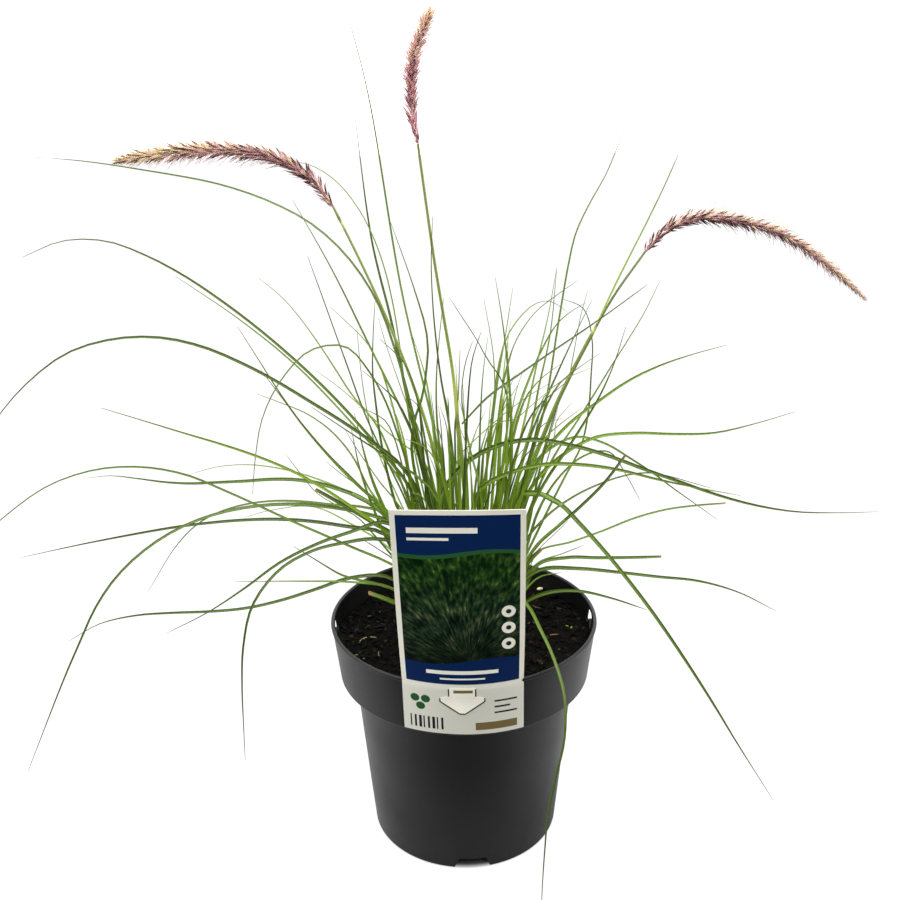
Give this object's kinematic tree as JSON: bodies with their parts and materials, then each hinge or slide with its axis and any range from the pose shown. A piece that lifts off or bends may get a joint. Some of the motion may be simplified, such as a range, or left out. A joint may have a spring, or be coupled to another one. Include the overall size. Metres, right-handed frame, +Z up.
{
  "type": "potted swamp foxtail grass",
  "caption": "Tuft of arching grass with bristly flower heads in a round plastic nursery pot, with a card label standing at its rim.",
  "frame": {"origin": "middle of the pot's underside, on the plane that it stands on", "axes": "+Z up along the pot's axis, -Y towards the label, +X to the right of the label as seen from the front"},
  "size_m": [0.6995, 0.3865, 0.6121],
  "materials": {
    "pot_plastic": "satin black",
    "bark_mix": "rough damp bark",
    "label_card": "satin printed card",
    "shoot_base": "satin",
    "culm": "satin",
    "flower_spike": "bristly",
    "leaf_blade": "satin"
  },
  "bodies": {
    "root": {"nursery_pot": "pot_plastic", "potting_mix": "bark_mix", "plant_label": "label_card", "crown": "shoot_base", "culm_left": "culm", "spike_left": "flower_spike", "culm_centre": "culm", "spike_centre": "flower_spike", "culm_right": "culm", "spike_right": "flower_spike", "leaf_01": "leaf_blade", "leaf_02": "leaf_blade", "leaf_03": "leaf_blade", "leaf_04": "leaf_blade", "leaf_05": "leaf_blade", "leaf_06": "leaf_blade", "leaf_07": "leaf_blade", "leaf_08": "leaf_blade", "leaf_09": "leaf_blade", "leaf_10": "leaf_blade", "leaf_11": "leaf_blade", "leaf_12": "leaf_blade", "leaf_13": "leaf_blade", "leaf_14": "leaf_blade", "leaf_15": "leaf_blade", "leaf_16": "leaf_blade", "leaf_17": "leaf_blade", "leaf_18": "leaf_blade", "leaf_19": "leaf_blade", "leaf_20": "leaf_blade", "leaf_21": "leaf_blade", "leaf_22": "leaf_blade", "leaf_23": "leaf_blade", "leaf_24": "leaf_blade", "leaf_25": "leaf_blade", "leaf_26": "leaf_blade", "leaf_27": "leaf_blade", "leaf_28": "leaf_blade", "leaf_29": "leaf_blade", "leaf_30": "leaf_blade", "leaf_31": "leaf_blade", "leaf_32": "leaf_blade", "leaf_33": "leaf_blade", "leaf_34": "leaf_blade", "leaf_35": "leaf_blade", "leaf_36": "leaf_blade", "leaf_37": "leaf_blade", "leaf_38": "leaf_blade", "leaf_39": "leaf_blade", "leaf_40": "leaf_blade", "leaf_41": "leaf_blade", "leaf_42": "leaf_blade", "leaf_43": "leaf_blade", "leaf_44": "leaf_blade", "leaf_45": "leaf_blade", "leaf_46": "leaf_blade", "leaf_47": "leaf_blade", "leaf_48": "leaf_blade", "leaf_49": "leaf_blade", "leaf_50": "leaf_blade"}
  },
  "joints": []
}
